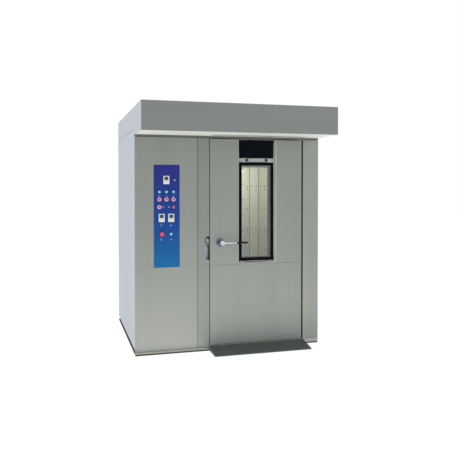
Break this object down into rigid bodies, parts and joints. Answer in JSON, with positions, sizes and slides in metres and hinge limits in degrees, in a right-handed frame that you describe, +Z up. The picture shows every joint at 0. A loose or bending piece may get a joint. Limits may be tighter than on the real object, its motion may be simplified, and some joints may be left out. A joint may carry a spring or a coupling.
{
  "type": "rotating rack oven",
  "caption": "Walk-up rotating rack oven with a steam hood, a pivoted door with a tall tilting window, a control panel and a ramp.",
  "frame": {"origin": "on the floor, at the middle of the plan of casing and hood", "axes": "+X to the right seen from the front, +Y to the back, +Z up"},
  "size_m": [1.915, 2.115, 2.52],
  "materials": {
    "brushed_steel": "brushed stainless sheet",
    "side_steel": "pale brushed stainless sheet",
    "bright_steel": "bright stainless sheet",
    "chamber_steel": "heat-tinted stainless sheet",
    "chrome": "polished chrome",
    "frame_steel": "dark grey paint",
    "ramp_steel": "dark grey hard coat",
    "black_frame": "black anodised",
    "black_grip": "matte black",
    "gasket_rubber": "black silicone",
    "clear_glass": "clear tempered",
    "dark_glass": "gloss black",
    "mineral_wool": "mineral wool board",
    "exchanger_steel": "heat-tinted steel",
    "cast_iron": "raw casting",
    "burner_paint": "red paint",
    "switchgear": "light grey",
    "motor_paint": "blue-grey paint",
    "blue_panel": "printed polyester on aluminium",
    "controller_white": "white housing",
    "green_lens": "lit green lens",
    "red_lens": "lit red lens",
    "zinc_steel": "zinc plated"
  },
  "bodies": {
    "cabinet": {"base_frame": "frame_steel", "levelling_feet": "zinc_steel", "left_side_panels": "side_steel", "right_side_panels": "side_steel", "rear_panels": "side_steel", "front_trim": "brushed_steel", "centre_post": "brushed_steel", "right_post": "brushed_steel", "crown_panels": "side_steel", "hood_shell": "brushed_steel", "hood_underside": "bright_steel", "hood_filter": "bright_steel", "chamber_side_walls": "chamber_steel", "chamber_back_slats": "chamber_steel", "chamber_ceiling": "chamber_steel", "chamber_floor": "chamber_steel", "door_frame": "bright_steel", "insulation": "mineral_wool", "roof_deck": "zinc_steel", "heat_exchanger": "exchanger_steel", "burner": "burner_paint", "steam_generator": "cast_iron", "electrical_box": "switchgear", "roof_ducts": "zinc_steel", "rack_gearmotor": "motor_paint", "fan_motor": "motor_paint", "ramp": "ramp_steel", "hinge_hardware": "zinc_steel"},
    "fan": {"fan_impeller": "bright_steel"},
    "rack_drive": {"rack_spindle": "bright_steel"},
    "damper": {"steam_damper": "zinc_steel"},
    "door": {"door_skins": "brushed_steel", "door_inner_pan": "bright_steel", "door_insulation": "mineral_wool", "door_gasket": "gasket_rubber", "door_inner_glass": "clear_glass", "window_channel": "bright_steel", "lamp_cover": "dark_glass", "handle_rosette": "chrome"},
    "handle": {"handle_lever": "chrome", "handle_grip": "black_grip"},
    "window": {"window_frame": "black_frame", "window_glass": "clear_glass", "clamp_bar": "bright_steel"},
    "knob_left": {"clamp_knob_left": "black_grip"},
    "knob_right": {"clamp_knob_right": "black_grip"},
    "service_door": {"service_panel": "brushed_steel", "control_fascia": "blue_panel", "temperature_controllers": "controller_white"},
    "lock": {"cam_lock": "chrome"},
    "green_button_1": {"green_button_1": "green_lens"},
    "red_button_1": {"red_button_1": "red_lens"},
    "green_button_2": {"green_button_2": "green_lens"},
    "red_button_2": {"red_button_2": "red_lens"},
    "green_button_3": {"green_button_3": "green_lens"},
    "red_button_3": {"red_button_3": "red_lens"},
    "red_button_4": {"red_button_4": "red_lens"},
    "red_button_5": {"red_button_5": "red_lens"},
    "stop_button": {"stop_button": "red_lens"},
    "start_button": {"start_button": "green_lens"}
  },
  "joints": [
    {"name": "door_hinge", "type": "hinge", "parent": "cabinet", "child": "door", "pos_m": [0.7495, -0.5725, 1.1], "axis": [0, 0, 1], "range_deg": [0, 110]},
    {"name": "handle_turn", "type": "hinge", "parent": "door", "child": "handle", "pos_m": [-0.104, -0.6325, 1.084], "axis": [0, -1, 0], "range_deg": [-6, 90]},
    {"name": "window_tilt", "type": "hinge", "parent": "door", "child": "window", "pos_m": [0.2885, -0.543, 0.883], "axis": [1, 0, 0], "range_deg": [0, 20]},
    {"name": "knob_left_turn", "type": "hinge", "parent": "window", "child": "knob_left", "pos_m": [0.1845, -0.5625, 1.915], "axis": [0, -1, 0], "range_deg": [0, 360]},
    {"name": "knob_right_turn", "type": "hinge", "parent": "window", "child": "knob_right", "pos_m": [0.3925, -0.5625, 1.915], "axis": [0, -1, 0], "range_deg": [0, 360]},
    {"name": "service_hinge", "type": "hinge", "parent": "cabinet", "child": "service_door", "pos_m": [-0.9485, -0.5835, 1.083], "axis": [0, 0, -1], "range_deg": [0, 100]},
    {"name": "lock_turn", "type": "hinge", "parent": "service_door", "child": "lock", "pos_m": [-0.3615, -0.5825, 1.088], "axis": [0, -1, 0], "range_deg": [0, 90]},
    {"name": "fan_spin", "type": "hinge", "parent": "cabinet", "child": "fan", "pos_m": [-0.65287, 0.2675, 2], "axis": [0, 0, 1], "continuous": true},
    {"name": "rack_spin", "type": "hinge", "parent": "cabinet", "child": "rack_drive", "pos_m": [0.27875, 0.077, 2], "axis": [0, 0, 1], "continuous": true},
    {"name": "damper_turn", "type": "hinge", "parent": "cabinet", "child": "damper", "pos_m": [-0.07125, 0.6525, 2.36], "axis": [1, 0, 0], "range_deg": [0, 90]},
    {"name": "green_button_1_push", "type": "slide", "parent": "service_door", "child": "green_button_1", "axis": [0, 1, 0], "range_m": [0, 0.0035], "stiffness_N_per_m": 400, "springref_m": -0.002},
    {"name": "red_button_1_push", "type": "slide", "parent": "service_door", "child": "red_button_1", "axis": [0, 1, 0], "range_m": [0, 0.0035], "stiffness_N_per_m": 400, "springref_m": -0.002},
    {"name": "green_button_2_push", "type": "slide", "parent": "service_door", "child": "green_button_2", "axis": [0, 1, 0], "range_m": [0, 0.0035], "stiffness_N_per_m": 400, "springref_m": -0.002},
    {"name": "red_button_2_push", "type": "slide", "parent": "service_door", "child": "red_button_2", "axis": [0, 1, 0], "range_m": [0, 0.0035], "stiffness_N_per_m": 400, "springref_m": -0.002},
    {"name": "green_button_3_push", "type": "slide", "parent": "service_door", "child": "green_button_3", "axis": [0, 1, 0], "range_m": [0, 0.0035], "stiffness_N_per_m": 400, "springref_m": -0.002},
    {"name": "red_button_3_push", "type": "slide", "parent": "service_door", "child": "red_button_3", "axis": [0, 1, 0], "range_m": [0, 0.0035], "stiffness_N_per_m": 400, "springref_m": -0.002},
    {"name": "red_button_4_push", "type": "slide", "parent": "service_door", "child": "red_button_4", "axis": [0, 1, 0], "range_m": [0, 0.0035], "stiffness_N_per_m": 400, "springref_m": -0.002},
    {"name": "red_button_5_push", "type": "slide", "parent": "service_door", "child": "red_button_5", "axis": [0, 1, 0], "range_m": [0, 0.0035], "stiffness_N_per_m": 400, "springref_m": -0.002},
    {"name": "stop_button_push", "type": "slide", "parent": "service_door", "child": "stop_button", "axis": [0, 1, 0], "range_m": [0, 0.0035], "stiffness_N_per_m": 400, "springref_m": -0.002},
    {"name": "start_button_push", "type": "slide", "parent": "service_door", "child": "start_button", "axis": [0, 1, 0], "range_m": [0, 0.0035], "stiffness_N_per_m": 400, "springref_m": -0.002}
  ]
}
